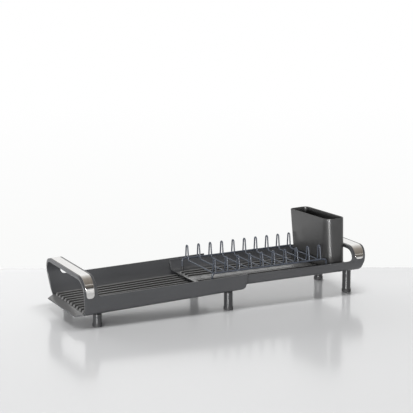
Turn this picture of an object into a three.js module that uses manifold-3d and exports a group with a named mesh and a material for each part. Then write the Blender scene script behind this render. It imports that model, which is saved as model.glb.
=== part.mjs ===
// Expandable dish drainer: two nesting moulded trays with hoop handles,
// a wire plate rack and a cutlery holder.
// Millimetres, +Z up, +X towards the sliding tray, -X towards the pouring lip.
import * as THREE from "three";
import { mergeVertices } from "three/addons/utils/BufferGeometryUtils.js";
import Module from "manifold-3d";

const wasm = await Module();
wasm.setup();

// General clearances
const seatGap = 0.3; // between pieces that touch
const overrun = 40; // how far a cutting solid runs past what it cuts
const curveSteps = 10; // facets along each curve of a tray's section
const wireSides = 8;
const mergeTolerance = 1e-4; // vertices closer than this are one

// Main tray, the wide one with the pouring lip. Lengths run along its sloping floor from the lip's edge.
const outer = {
  length: 307,
  floorHalf: 72,
  beltHalf: 91,
  beltHeight: 40,
  crownHalf: 67,
  crownHeight: 68,
  wall: 3,
  crownThick: 6.5,
  rimAtHandle: 33.2,
  rimAtEnd: 29.9,
  slopeDegrees: 2.45,
  rise: 20.4, // height of the lip's underside over the worktop
  lipLength: 13,
  lipHalf: 66,
  lipDroop: 2,
  lipTip: 2.2,
  lipSeat: 0.4,
  handleWidth: 24,
  handleLean: 5.2,
  handleTaper: 2,
  rimFillet: 9,
  endRound: 9,
  stripEnd: 32,
  lipLegPlace: 38, // from the lip's edge to the middle of the first legs
  endLegInset: 29, // from the tray's end to the middle of the second legs
  legInset: 2, // from the floor's long edge to the middle of each leg
};

// Sliding tray, nested in the main one. Lengths run along its floor from its inner end.
const inner = {
  length: 300,
  floorHalf: 66,
  beltHeight: 18,
  crownHalf: 60,
  crownHeight: 44.3,
  wall: 3,
  crownThick: 6,
  rimAtHandle: 20,
  rimAtEnd: 20.4,
  slopeDegrees: 0.8,
  overlap: 71, // how much of it stays in the main tray when pulled out
  handleWidth: 27,
  handleLean: 8.5,
  handleTaper: 1.5,
  rimFillet: 9,
  endRound: 6,
  stripEnd: 23,
  endLegInset: 14,
  legInset: 15,
  curbHeight: 2.5,
  curbWidth: 3,
  curbInset: 9,
};
const nestClearance = 0.6; // side play between the two trays
const stackClearance = 0.5; // height play between the main tray's ribs and the sliding tray

// Drainage ribs moulded on both floors
const rib = {
  pitch: 14,
  width: 5.6,
  edgeGap: 2, // least bare floor between the last rib and the floor's long edge
  lipGap: 1, // bare strip between the lip and the ribs' noses
  outerHeight: 5,
  outerEndHeight: 3.5,
  channelHalf: 18.2, // half the bare drain channel along the sliding tray's middle
  rackGap: 3, // least room between the last rib and the rack's feet
  innerStart: 5,
  innerHeight: 3,
  noseLength: 4,
  tipShare: 0.15, // height of the nose's tip
  sink: 0.5, // how deep a rib's foot is rooted in the floor
};

// Extension stop: a bar on the main tray's floor that catches a ridge under the sliding tray
const stop = { width: 3, ridgeDrop: 1.4, play: 1 };

// Steel strip let into each handle
const strip = { thick: 0.9, proud: 0.3, margin: 4, endRadius: 5 };

// Legs and rubber feet
const leg = { radius: 7.5, sides: 28 };
const foot = { radius: 8.75, height: 6, floor: 2.2, round: 1.2 };

// Wire plate rack
const rack = {
  start: 16,
  holderGap: 3.5,
  railInset: 4, // from the floor's long edge
  railHeight: 24.9,
  railRadius: 1.6,
  bend: 5,
  wires: 10,
  firstWire: 7,
  lastWire: 11,
  wireRadius: 1.25,
  crossDrop: 2,
  loopHeight: 25.7,
  loopWidth: 11.6,
  loopRadius: 3.4,
  footBend: 3,
  footRadius: 2.7,
  footHeight: 8,
  footWall: 0.8,
};

// Cutlery holder
const holder = {
  handleGap: 10, // to the sliding tray's handle
  depth: 30,
  lean: 9.1, // how far its inner face leans out over the rack
  sideInset: 6, // from the floor's long edge
  height: 88.7,
  corner: 11,
  wall: 2.2,
  floor: 2.5,
  baseRound: 3,
  slotWidth: 4,
  slotLength: 18,
  slotRows: 5,
  slotPitch: 21,
};

const plastic = new THREE.MeshStandardMaterial({ color: 0x4a4b4d, roughness: 0.5, metalness: 0 });
const holderPlastic = new THREE.MeshStandardMaterial({ color: 0x4c4d4e, roughness: 0.42, metalness: 0 });
const steel = new THREE.MeshStandardMaterial({ color: 0xc9c4bc, roughness: 0.22, metalness: 1 });
const coatedWire = new THREE.MeshStandardMaterial({ color: 0x5b6068, roughness: 0.4, metalness: 0.4 });
const rubber = new THREE.MeshStandardMaterial({ color: 0x2f3032, roughness: 0.8, metalness: 0 });

// Geometry helpers

function solidOf(geometry) {
  const bare = geometry.clone();
  bare.deleteAttribute("normal");
  bare.deleteAttribute("uv");
  const merged = mergeVertices(bare, mergeTolerance);
  return new wasm.Manifold(
    new wasm.Mesh({
      numProp: 3,
      vertProperties: new Float32Array(merged.attributes.position.array),
      triVerts: new Uint32Array(merged.index.array),
    }),
  );
}

function geometryOf(solid) {
  const mesh = solid.getMesh();
  const geometry = new THREE.BufferGeometry();
  geometry.setAttribute("position", new THREE.BufferAttribute(new Float32Array(mesh.vertProperties), 3));
  geometry.setIndex(new THREE.BufferAttribute(new Uint32Array(mesh.triVerts), 1));
  geometry.computeVertexNormals();
  return geometry;
}

function namedMesh(name, geometry, material, parent) {
  const mesh = new THREE.Mesh(geometry, material);
  mesh.name = name;
  parent.add(mesh);
  return mesh;
}

function extrusion(shape, depth) {
  return new THREE.ExtrudeGeometry(shape, { depth, bevelEnabled: false, curveSegments: curveSteps });
}

// A shape drawn in the tray's cross section (Y, Z), extruded along X.
function extrudeAlong(shape, from, to) {
  const geometry = extrusion(shape, to - from);
  const turn = new THREE.Matrix4().makeBasis(
    new THREE.Vector3(0, 1, 0),
    new THREE.Vector3(0, 0, 1),
    new THREE.Vector3(1, 0, 0),
  );
  return solidOf(geometry.applyMatrix4(turn).translate(from, 0, 0));
}

// A shape drawn in side view (X, Z), extruded across the full width.
function extrudeAcross(shape, half) {
  const geometry = extrusion(shape, half + half);
  const turn = new THREE.Matrix4().makeBasis(
    new THREE.Vector3(1, 0, 0),
    new THREE.Vector3(0, 0, 1),
    new THREE.Vector3(0, -1, 0),
  );
  return solidOf(geometry.applyMatrix4(turn).translate(0, half, 0));
}

// A closed body through a row of loops that all have the same number of points.
function loft(loops) {
  const count = loops[0].length;
  const positions = loops.flat().flatMap((p) => [p.x, p.y, p.z]);
  const index = [];
  for (let s = 0; s + 1 < loops.length; s++) {
    for (let i = 0; i < count; i++) {
      const a = s * count + i;
      const b = s * count + ((i + 1) % count);
      index.push(a, b, b + count, a, b + count, a + count);
    }
  }
  const last = (loops.length - 1) * count;
  for (let i = 1; i + 1 < count; i++) {
    index.push(0, i + 1, i);
    index.push(last, last + i, last + i + 1);
  }
  const geometry = new THREE.BufferGeometry();
  geometry.setAttribute("position", new THREE.BufferAttribute(new Float32Array(positions), 3));
  geometry.setIndex(index);
  return geometry;
}

// A path through given points, whose straights need one step each.
class WirePath extends THREE.Curve {
  constructor(points) {
    super();
    this.points = points;
  }
  getPointAt(share) {
    return this.points[Math.round(share * (this.points.length - 1))].clone();
  }
  getTangentAt(share) {
    const last = this.points.length - 1;
    const here = Math.round(share * last);
    const after = this.points[Math.min(here + 1, last)];
    const before = this.points[Math.max(here - 1, 0)];
    return after.clone().sub(before).normalize();
  }
  getSpacedPoints() {
    return this.points.map((p) => p.clone());
  }
}

function wireGeometry(points, radius) {
  const section = new THREE.Shape();
  section.absarc(0, 0, radius, 0, Math.PI * 2, false);
  return new THREE.ExtrudeGeometry(section, {
    steps: points.length - 1,
    curveSegments: wireSides / 2,
    bevelEnabled: false,
    extrudePath: new WirePath(points),
  });
}

// Points round the bend where a path turns from one straight to the next.
function bendPoints(before, corner, after, radius, steps = 4) {
  const inward = before.clone().sub(corner).normalize();
  const outward = after.clone().sub(corner).normalize();
  const half = inward.angleTo(outward) / 2;
  const reach = radius / Math.tan(half);
  const centre = inward.clone().add(outward).normalize().multiplyScalar(radius / Math.sin(half)).add(corner);
  const start = inward.multiplyScalar(reach).add(corner).sub(centre);
  const end = outward.multiplyScalar(reach).add(corner).sub(centre);
  const axis = start.clone().cross(end).normalize();
  const sweep = start.angleTo(end);
  return Array.from({ length: steps + 1 }, (_, i) =>
    start.clone().applyAxisAngle(axis, (sweep * i) / steps).add(centre),
  );
}

// Tray section, from the middle of the floor round the belt to the middle of the handle's crown

// Where the handles of the section's two curves lie, as shares of each curve's width and height
const lowerShares = { floorOut: 0.53, beltIn: 0.26, beltDown: 0.35 };
const upperShares = { beltOut: 0.04, beltUp: 0.5, crownOut: 0.35 };

function halfSection(tray) {
  const flare = tray.beltHalf - tray.floorHalf;
  const tuck = tray.beltHalf - tray.crownHalf;
  const aboveBelt = tray.crownHeight - tray.beltHeight;
  const lower = new THREE.CubicBezierCurve(
    new THREE.Vector2(tray.floorHalf, 0),
    new THREE.Vector2(tray.floorHalf + flare * lowerShares.floorOut, 0),
    new THREE.Vector2(tray.beltHalf - flare * lowerShares.beltIn, tray.beltHeight * lowerShares.beltDown),
    new THREE.Vector2(tray.beltHalf, tray.beltHeight),
  );
  const bulge = flare * upperShares.beltOut;
  const upper = new THREE.CubicBezierCurve(
    new THREE.Vector2(tray.beltHalf, tray.beltHeight),
    new THREE.Vector2(tray.beltHalf + bulge, tray.beltHeight + aboveBelt * upperShares.beltUp),
    new THREE.Vector2(tray.beltHalf - tuck * upperShares.crownOut, tray.crownHeight),
    new THREE.Vector2(tray.crownHalf, tray.crownHeight),
  );
  const points = [...lower.getPoints(curveSteps), ...upper.getPoints(curveSteps).slice(1)];
  return [new THREE.Vector2(0, 0), ...points, new THREE.Vector2(0, tray.crownHeight)];
}

// The section moved inwards by a thickness that may grow towards the crown.
function insetSection(tray, points, thicknessAt) {
  const last = points.length - 1;
  return points.map((p, i) => {
    const before = points[Math.max(i - 1, 0)];
    const after = points[Math.min(i + 1, last)];
    const along = after.clone().sub(before).normalize();
    const thickness = thicknessAt(p);
    const across = new THREE.Vector2(-along.y, along.x).multiplyScalar(thickness);
    const y = i === 0 || i === last ? 0 : p.x + across.x;
    return new THREE.Vector2(y, p.y + (i === 0 ? thickness : i === last ? -thickness : across.y));
  });
}

function wallThickness(tray) {
  return (p) => {
    const share = Math.max(0, (p.y - tray.beltHeight) / (tray.crownHeight - tray.beltHeight));
    return tray.wall + (tray.crownThick - tray.wall) * share * share;
  };
}

// Half width of a section at a height below the belt.
function halfWidthAt(points, height) {
  for (let i = 1; i + 1 < points.length; i++) {
    const [a, b] = [points[i], points[i + 1]];
    if (a.y <= height && height <= b.y) return a.x + ((b.x - a.x) * (height - a.y)) / (b.y - a.y);
  }
  throw new Error("no wall at that height");
}

function mirrored(points) {
  const other = points.slice(1, -1).reverse().map((p) => new THREE.Vector2(-p.x, p.y));
  return [...points, ...other];
}

// Side view of a tray, kept where the wall, its rim and the handle are. Drawn with the handle at the left.
function sideView(tray, start) {
  const lean = tray.handleLean;
  const handleEnd = start + tray.handleWidth - lean;
  const rimStart = start + tray.handleWidth - lean + tray.handleTaper;
  const shape = new THREE.Shape();
  shape.moveTo(start + tray.startRound, -overrun);
  shape.lineTo(start + tray.startRound, 0);
  if (tray.startRound) {
    shape.quadraticCurveTo(start, 0, start - (lean * tray.startRound) / tray.crownHeight, tray.startRound);
  }
  shape.lineTo(start - lean, tray.crownHeight);
  shape.lineTo(start - lean, tray.crownHeight + overrun);
  shape.lineTo(handleEnd, tray.crownHeight + overrun);
  shape.lineTo(handleEnd, tray.crownHeight);
  shape.lineTo(rimStart, tray.rimAtHandle + tray.rimFillet);
  shape.quadraticCurveTo(rimStart, tray.rimAtHandle, rimStart + tray.rimFillet, tray.rimAtHandle);
  shape.lineTo(start + tray.bodyLength, tray.rimAtEnd);
  shape.lineTo(start + tray.bodyLength, tray.endRound);
  shape.quadraticCurveTo(start + tray.bodyLength, 0, start + tray.bodyLength - tray.endRound, 0);
  shape.lineTo(start + tray.bodyLength - tray.endRound, -overrun);
  return shape;
}

// Side view of the strip, or of its pocket when grown by a clearance.
function stripView(tray, start, grow) {
  const left = (height) => start - (tray.handleLean * height) / tray.crownHeight + strip.margin - grow;
  const width = tray.handleWidth - tray.handleLean - strip.margin - strip.margin + grow + grow;
  const right = (height) => left(height) + width + (tray.handleLean * height) / tray.crownHeight;
  const low = tray.stripEnd - grow;
  const shape = new THREE.Shape();
  shape.moveTo(left(low) + strip.endRadius, low);
  shape.quadraticCurveTo(left(low), low, left(low + strip.endRadius), low + strip.endRadius);
  shape.lineTo(left(tray.crownHeight), tray.crownHeight + overrun);
  shape.lineTo(right(tray.crownHeight), tray.crownHeight + overrun);
  shape.lineTo(right(low + strip.endRadius), low + strip.endRadius);
  shape.quadraticCurveTo(right(low), low, right(low) - strip.endRadius, low);
  return shape;
}

// A skin that follows the handle's outside, from under to over its surface.
function handleSkin(tray, section, start, over, under, grow) {
  const lifted = insetSection(tray, section, () => -over);
  const sunk = insetSection(tray, section, () => under);
  const skin = new THREE.Shape(mirrored(lifted));
  skin.holes.push(new THREE.Path(mirrored(sunk)));
  const band = extrudeAlong(skin, start - tray.handleWidth, start + tray.handleWidth);
  return band.intersect(extrudeAcross(stripView(tray, start, grow), tray.beltHalf + overrun));
}

function trayShell(tray, start) {
  const section = halfSection(tray);
  const ring = new THREE.Shape(mirrored(section));
  ring.holes.push(new THREE.Path(mirrored(insetSection(tray, section, wallThickness(tray)))));
  const tube = extrudeAlong(ring, start - tray.handleLean, start + tray.bodyLength);
  const shell = tube.intersect(extrudeAcross(sideView(tray, start), tray.beltHalf + overrun));
  const pocket = handleSkin(tray, section, start, overrun, strip.thick - strip.proud + seatGap, seatGap);
  return shell.subtract(pocket);
}

function handleStrip(tray, start) {
  return handleSkin(tray, halfSection(tray), start, strip.proud, strip.thick - strip.proud, 0);
}

// One rib: a round-topped bar with a rounded nose, on a floor of the given thickness.
function ribSolid(y, from, to, floor, height, endHeight) {
  const steps = 6;
  const loopAt = (x, tall) =>
    Array.from({ length: steps + 1 }, (_, i) => {
      const angle = (Math.PI * i) / steps;
      const root = i % steps ? floor : floor - rib.sink;
      return new THREE.Vector3(x, y + (rib.width / 2) * Math.cos(angle), root + tall * Math.sin(angle));
    });
  const noseShares = [0, 0.15, 0.5, 1];
  const tallShare = (share) => rib.tipShare + (1 - rib.tipShare) * Math.sqrt(1 - (1 - share) ** 2);
  const nose = noseShares.map((share) => loopAt(from + rib.noseLength * share, height * tallShare(share)));
  return solidOf(loft([...nose, loopAt(to, endHeight)]));
}

// Middles of the ribs on one side, a pitch apart, as many as the room between two places takes
function ribPlaces(first, last) {
  const count = Math.floor((last - first) / rib.pitch) + 1;
  return Array.from({ length: count }, (_, i) => first + i * rib.pitch);
}

function barAcross(from, to, low, high, half) {
  const shape = new THREE.Shape();
  shape.moveTo(from, low);
  shape.lineTo(to, low);
  shape.lineTo(to, high);
  shape.lineTo(from, high);
  return extrudeAcross(shape, half);
}

// Main tray
outer.startRound = 0;
outer.bodyLength = outer.length - outer.lipLength;
const outerSlope = THREE.MathUtils.degToRad(outer.slopeDegrees);
const outerEndRise = outer.rise + outer.length * Math.sin(outerSlope);

// Sliding tray: its belt fits the main tray's inner wall at the mouth, where that is narrowest
const innerSlope = THREE.MathUtils.degToRad(inner.slopeDegrees);
const ribTopAtMouth = outerEndRise + outer.wall + rib.outerEndHeight;
const innerX = outer.length * Math.cos(outerSlope) - inner.overlap;
const innerRise = ribTopAtMouth + stackClearance - inner.overlap * Math.sin(innerSlope);
const mouthInside = insetSection(outer, halfSection(outer), wallThickness(outer));
const beltOverMouthFloor = innerRise + inner.overlap * Math.sin(innerSlope) + inner.beltHeight - outerEndRise;
inner.beltHalf = halfWidthAt(mouthInside, beltOverMouthFloor) - nestClearance;
inner.startRound = inner.endRound;
inner.bodyLength = inner.length;

// Along the sliding tray the holder stands by the handle, and the rack takes the rest
holder.right = inner.length - inner.handleWidth + inner.handleLean - holder.handleGap;
holder.left = holder.right - holder.depth;
holder.half = inner.floorHalf - holder.sideInset;
rack.length = holder.left - rack.holderGap - rack.start;
rack.railHalf = inner.floorHalf - rack.railInset;
rack.wirePitch = (rack.length - rack.firstWire - rack.lastWire) / (rack.wires - 1);

const drainer = new THREE.Group();
const outerFrame = new THREE.Group();
outerFrame.position.set(0, 0, outer.rise);
outerFrame.rotation.y = -outerSlope;
const innerFrame = new THREE.Group();
innerFrame.position.set(innerX, 0, innerRise);
innerFrame.rotation.y = -innerSlope;
const ground = new THREE.Group();
drainer.add(outerFrame, innerFrame, ground);

function pouringLip() {
  const side = new THREE.Shape();
  const root = outer.lipLength + outer.wall;
  side.moveTo(0, -outer.lipDroop);
  side.lineTo(root, outer.lipSeat);
  side.lineTo(root, outer.wall - outer.lipSeat);
  side.lineTo(0, outer.lipTip - outer.lipDroop);
  const plan = new THREE.Shape();
  plan.moveTo(0, -outer.lipHalf);
  plan.lineTo(outer.lipLength, -outer.floorHalf - outer.wall);
  plan.lineTo(root, -outer.floorHalf);
  plan.lineTo(root, outer.floorHalf);
  plan.lineTo(outer.lipLength, outer.floorHalf + outer.wall);
  plan.lineTo(0, outer.lipHalf);
  const outline = new THREE.ExtrudeGeometry(plan, { depth: overrun, bevelEnabled: false });
  return extrudeAcross(side, outer.beltHalf).intersect(solidOf(outline.translate(0, 0, -overrun / 2)));
}

function mainTray() {
  let tray = trayShell(outer, outer.lipLength).add(pouringLip());
  const places = ribPlaces(rib.pitch / 2, outer.floorHalf - rib.edgeGap - rib.width / 2);
  const from = outer.lipLength + rib.lipGap;
  const to = outer.length - outer.endRound;
  for (const place of places) {
    for (const y of [-place, place]) {
      tray = tray.add(ribSolid(y, from, to, outer.wall, rib.outerHeight, rib.outerEndHeight));
    }
  }
  // The stop bar reaches up to just under the sliding tray, so the ridge there can't pass it
  const barStart = outer.length - inner.overlap + inner.endRound + stop.width + stop.play;
  const slidingUnderside = innerRise + (barStart - innerX) * Math.sin(innerSlope);
  const barTop = slidingUnderside - stackClearance - outer.rise - barStart * Math.sin(outerSlope);
  const barHalf = places[places.length - 1];
  return tray.add(barAcross(barStart, barStart + stop.width, outer.wall - rib.sink, barTop, barHalf));
}

// The sliding tray is drawn with its handle at the left, then turned end for end.
function slidingTray() {
  const turned = new THREE.Matrix4().makeRotationZ(Math.PI).setPosition(inner.length, 0, 0);
  const shell = solidOf(geometryOf(trayShell(inner, 0)).applyMatrix4(turned));
  const to = inner.length - inner.curbInset - inner.curbWidth / 2;
  const last = rack.railHalf - rack.footRadius - rib.rackGap - rib.width / 2;
  let tray = shell;
  for (const place of ribPlaces(rib.channelHalf + rib.width / 2, last)) {
    for (const y of [-place, place]) {
      tray = tray.add(ribSolid(y, rib.innerStart, to, inner.wall, rib.innerHeight, rib.innerHeight));
    }
  }
  const curbEnd = inner.length - inner.curbInset;
  const curbHalf = halfWidthAt(halfSection(inner), inner.wall) - inner.wall / 2;
  const root = inner.wall - rib.sink;
  const curb = barAcross(curbEnd - inner.curbWidth, curbEnd, root, inner.wall + inner.curbHeight, curbHalf);
  const ridgeEnd = inner.endRound + stop.width;
  const ridge = barAcross(inner.endRound, ridgeEnd, -stop.ridgeDrop, root, inner.floorHalf - inner.wall);
  return tray.add(curb).add(ridge);
}

namedMesh("main_tray", geometryOf(mainTray()), plastic, outerFrame);
namedMesh("sliding_tray", geometryOf(slidingTray()), plastic, innerFrame);
namedMesh("main_handle_strip", geometryOf(handleStrip(outer, outer.lipLength)), steel, outerFrame);
const slidingStrip = namedMesh("sliding_handle_strip", geometryOf(handleStrip(inner, 0)), steel, innerFrame);
slidingStrip.rotation.z = Math.PI;
slidingStrip.position.x = inner.length;

// Legs stand upright, whatever the slope of the tray over them
function addLeg(name, x, y, underside, slope) {
  const tilt = leg.radius * Math.tan(slope);
  const top = underside - tilt - seatGap;
  const bottom = foot.floor + seatGap;
  const post = new THREE.CylinderGeometry(leg.radius, leg.radius, top - bottom, leg.sides);
  post.rotateX(Math.PI / 2);
  const standing = namedMesh(name + "_leg", post, plastic, ground);
  standing.position.set(x, y, (top + bottom) / 2);
  const bore = leg.radius + seatGap;
  const profile = [
    new THREE.Vector2(0, 0),
    new THREE.Vector2(foot.radius - foot.round, 0),
    new THREE.Vector2(foot.radius, foot.round),
    new THREE.Vector2(foot.radius, foot.height - foot.round),
    new THREE.Vector2(foot.radius - foot.round / 2, foot.height),
    new THREE.Vector2(bore, foot.height),
    new THREE.Vector2(bore, foot.floor),
    new THREE.Vector2(0, foot.floor),
  ];
  const cup = new THREE.LatheGeometry(profile, leg.sides);
  cup.rotateX(Math.PI / 2);
  const seat = namedMesh(name + "_foot", cup, rubber, ground);
  seat.position.set(x, y, 0);
}

const sides = [["front", -1], ["rear", 1]];
const mainLegs = [["_lip_end", outer.lipLegPlace], ["_middle", outer.length - outer.endLegInset]];
for (const [place, side] of sides) {
  const y = side * (outer.floorHalf - outer.legInset);
  for (const [end, along] of mainLegs) {
    const underside = outer.rise + along * Math.sin(outerSlope);
    addLeg(place + end, along * Math.cos(outerSlope), y, underside, outerSlope);
  }
  const along = inner.length - inner.endLegInset;
  const x = innerX + along * Math.cos(innerSlope);
  const underside = innerRise + along * Math.sin(innerSlope);
  addLeg(place + "_sliding", x, side * (inner.floorHalf - inner.legInset), underside, innerSlope);
}

// Plate rack: two rails with legs, and cross wires bent up into a loop over each rail
const rackFrame = new THREE.Group();
rackFrame.position.x = rack.start;
innerFrame.add(rackFrame);

function railPoints(side) {
  const y = side * rack.railHalf;
  const low = inner.wall + seatGap + rack.footWall + seatGap;
  const at = (x, z) => new THREE.Vector3(x, y, z);
  const legLow = [at(0, low), at(rack.length, low)];
  const corners = [at(0, rack.railHeight), at(rack.length, rack.railHeight)];
  return [
    legLow[0],
    ...bendPoints(legLow[0], corners[0], corners[1], rack.bend),
    ...bendPoints(corners[0], corners[1], legLow[1], rack.bend),
    legLow[1],
  ];
}

function loopWirePoints() {
  const start = rack.railHeight + rack.railRadius + seatGap;
  const topCentre = rack.railHeight + rack.loopHeight - rack.loopRadius - rack.wireRadius;
  const loopMiddle = rack.railHalf - rack.loopWidth / 2;
  const cross = rack.railHeight - rack.crossDrop;
  const half = [new THREE.Vector3(0, rack.railHalf, start)];
  const turns = 6;
  for (let i = 0; i <= turns; i++) {
    const angle = (Math.PI * i) / turns;
    const y = loopMiddle + rack.loopRadius * Math.cos(angle);
    half.push(new THREE.Vector3(0, y, topCentre + rack.loopRadius * Math.sin(angle)));
  }
  const innerFoot = new THREE.Vector3(0, rack.railHalf - rack.loopWidth, cross);
  const middle = new THREE.Vector3(0, 0, cross);
  half.push(...bendPoints(half[half.length - 1], innerFoot, middle, rack.footBend, 3));
  const otherHalf = half.slice().reverse().map((p) => new THREE.Vector3(0, -p.y, p.z));
  return [...half, ...otherHalf];
}

namedMesh("front_rail", wireGeometry(railPoints(-1), rack.railRadius), coatedWire, rackFrame);
namedMesh("rear_rail", wireGeometry(railPoints(1), rack.railRadius), coatedWire, rackFrame);
for (let i = 0; i < rack.wires; i++) {
  const loops = wireGeometry(loopWirePoints(), rack.wireRadius);
  const wire = namedMesh("plate_wire_" + (i + 1), loops, coatedWire, rackFrame);
  wire.position.x = rack.firstWire + i * rack.wirePitch;
}
for (const [place, side] of sides) {
  for (const [end, x] of [["left", 0], ["right", rack.length]]) {
    const bore = rack.railRadius + seatGap / 2;
    const low = inner.wall + seatGap;
    const profile = [
      new THREE.Vector2(0, low),
      new THREE.Vector2(rack.footRadius, low),
      new THREE.Vector2(rack.footRadius, low + rack.footHeight),
      new THREE.Vector2(bore, low + rack.footHeight),
      new THREE.Vector2(bore, low + rack.footWall),
      new THREE.Vector2(0, low + rack.footWall),
    ];
    const cap = new THREE.LatheGeometry(profile, wireSides + wireSides);
    cap.rotateX(Math.PI / 2);
    const seat = namedMesh("rack_foot_" + place + "_" + end, cap, rubber, rackFrame);
    seat.position.set(x, side * rack.railHalf, 0);
  }
}

// Cutlery holder: a tall cup with a leaning face, standing on the ribs
function holderLoop(left, right, half, corner, z) {
  const steps = 6;
  const corners = [
    [right - corner, half - corner, 0],
    [left + corner, half - corner, 1],
    [left + corner, corner - half, 2],
    [right - corner, corner - half, 3],
  ];
  return corners.flatMap(([x, y, quarter]) =>
    Array.from({ length: steps + 1 }, (_, i) => {
      const angle = (Math.PI / 2) * (quarter + i / steps);
      return new THREE.Vector3(x + corner * Math.cos(angle), y + corner * Math.sin(angle), z);
    }),
  );
}

function cutleryHolder() {
  const bottom = inner.wall + rib.innerHeight + seatGap;
  const top = bottom + holder.height;
  const leftAt = (z) => holder.left - (holder.lean * (z - bottom)) / holder.height;
  const loopAt = (z, inset) =>
    holderLoop(leftAt(z) + inset, holder.right - inset, holder.half - inset, holder.corner - inset, z);
  // A rounded base edge: quarter-circle steps from the floor up to the wall
  const roundedBase = (z, inset) =>
    [0, 1, 2, 3].map((step) => {
      const angle = (Math.PI * step) / 6;
      const rounding = holder.baseRound * (1 - Math.sin(angle));
      return loopAt(z + holder.baseRound * (1 - Math.cos(angle)), inset + rounding);
    });
  const body = solidOf(loft([...roundedBase(bottom, 0), loopAt(top, 0)]));
  const hollow = [...roundedBase(bottom + holder.floor, holder.wall), loopAt(top + holder.wall, holder.wall)];
  const inside = solidOf(loft(hollow));
  let cup = body.subtract(inside);
  const middle = (leftAt(bottom) + holder.right) / 2;
  for (let i = 0; i < holder.slotRows; i++) {
    const y = (i - (holder.slotRows - 1) / 2) * holder.slotPitch;
    const slot = new THREE.BoxGeometry(holder.slotLength, holder.slotWidth, overrun);
    cup = cup.subtract(solidOf(slot.translate(middle, y, bottom)));
  }
  return cup;
}

namedMesh("cutlery_holder", geometryOf(cutleryHolder()), holderPlastic, innerFrame);

// The origin is on the worktop, under the middle of the drainer pulled out
drainer.updateMatrixWorld(true);
const extent = new THREE.Box3().setFromObject(drainer, true);
drainer.position.x = -(extent.min.x + extent.max.x) / 2;

export default drainer;
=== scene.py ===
"""Expandable dish drainer: the dressed pieces, their finishes, the studio and the camera."""

import math
from functools import lru_cache
from types import SimpleNamespace as Sizes

import bmesh
import bpy
from mathutils import Matrix, Vector


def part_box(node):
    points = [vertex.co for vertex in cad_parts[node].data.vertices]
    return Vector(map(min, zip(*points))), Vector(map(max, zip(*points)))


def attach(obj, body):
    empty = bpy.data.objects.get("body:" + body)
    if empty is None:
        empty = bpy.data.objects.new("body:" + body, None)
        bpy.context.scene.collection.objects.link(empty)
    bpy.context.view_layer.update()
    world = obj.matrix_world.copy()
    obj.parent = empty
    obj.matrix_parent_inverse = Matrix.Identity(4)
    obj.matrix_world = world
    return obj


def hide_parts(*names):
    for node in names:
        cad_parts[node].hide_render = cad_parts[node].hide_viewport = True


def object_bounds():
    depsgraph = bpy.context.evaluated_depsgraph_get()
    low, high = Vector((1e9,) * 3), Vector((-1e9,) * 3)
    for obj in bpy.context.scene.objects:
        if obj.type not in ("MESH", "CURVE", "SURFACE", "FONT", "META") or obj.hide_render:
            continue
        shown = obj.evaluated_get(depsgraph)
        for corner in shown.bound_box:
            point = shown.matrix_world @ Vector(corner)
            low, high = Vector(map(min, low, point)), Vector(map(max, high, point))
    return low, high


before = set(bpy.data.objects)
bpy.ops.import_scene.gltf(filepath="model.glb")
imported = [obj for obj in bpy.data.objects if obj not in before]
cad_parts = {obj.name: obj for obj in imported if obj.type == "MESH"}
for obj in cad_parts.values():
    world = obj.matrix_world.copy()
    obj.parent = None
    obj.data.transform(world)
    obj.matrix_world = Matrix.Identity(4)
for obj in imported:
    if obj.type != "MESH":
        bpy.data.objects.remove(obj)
cad_low, cad_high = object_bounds()

MM = 0.001

# Camera: its place in metres, its angles in degrees and its focal length in pixels of the frame
CAMERA_PLACE = (-1.1110, -2.3639, 0.690)
CAMERA_YAW, CAMERA_PITCH, CAMERA_ROLL = 25.14, 11.3, -0.19
FOCAL_PIXELS, FRAME_PIXELS, SENSOR_MM = 1540, 413, 36
# Worktop, in metres: how far it reaches ahead of the camera, behind it and to each side
FLOOR_AHEAD, FLOOR_BEHIND, FLOOR_BESIDE = 2.855, 3, 4

# Sizes in millimetres. The main ones are the solids', but for the feet's radius and the holder's corners.
rib = Sizes(
    pitch=14, half=2.8, start=14, height=5, end_height=3.5, sliding_start=5, sliding_height=3, nose=4,
    nose_least=0.05, fillet=0.8, main_rows=(0.5, 1.5, 2.5, 3.5, 4.5), sliding_rows=(1.5, 2.5, 3.5),
    channel_half=18.2,
)
# Painted shade in the grooves between ribs: where it starts beside a rib's middle, over what it deepens, how
# far past the last rib it reaches
groove = Sizes(start=1.3, blend=1, reach=3.6)
curb = Sizes(inset=9, width=3, height=2.5)
stop = Sizes(overlap=71, clearance=0.5, width=3, play=1, ridge_drop=1.4, rounding=0.4)
lip = Sizes(length=13, half=66, root_half=75, droop=2, tip=2.2)
strip = Sizes(thick=0.9, proud=0.3, margin=4, end_radius=5, gap=0.3, rounding=0.22)
leg = Sizes(
    radius=7.5, overlap=0.25, lip_place=38, end_inset=29, sliding_inset=14, side_inset=2,
    sliding_side_inset=15, bevel=0.5, line_over_foot=1, top_inset=0.6,
)
foot = Sizes(
    radius=8.3, height=6, floor=2.2, round=1.2, gap=0.15, flat_inset=3, top_round=0.6, bevel=0.2,
    groove=0.35, groove_depths=(2.4, 2.1, 1.7, 1.4),
)
rack = Sizes(
    start=16, length=222, rail_half=62, rail_height=24.9, rail_radius=1.6, bend=5, wires=10, first_wire=7,
    last_wire=11, wire_radius=1.25, cross_drop=2, loop_height=25.7, loop_width=11.6, loop_radius=3.4,
    foot_bend=3, cap_radius=2.7, cap_height=8, cap_wall=0.8, cap_gap=0.1, cap_base_round=0.7,
    cap_top_round=0.4,
    # At a weld a wire starts inside the rail, by a share of its radius, and is swollen at these heights
    weld_start=0.6, weld_heights=(0, 0.3, 0.7, 1.2, 2.0), weld_swells=(1.45, 1.3, 1.12, 1.02, 1),
)
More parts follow.
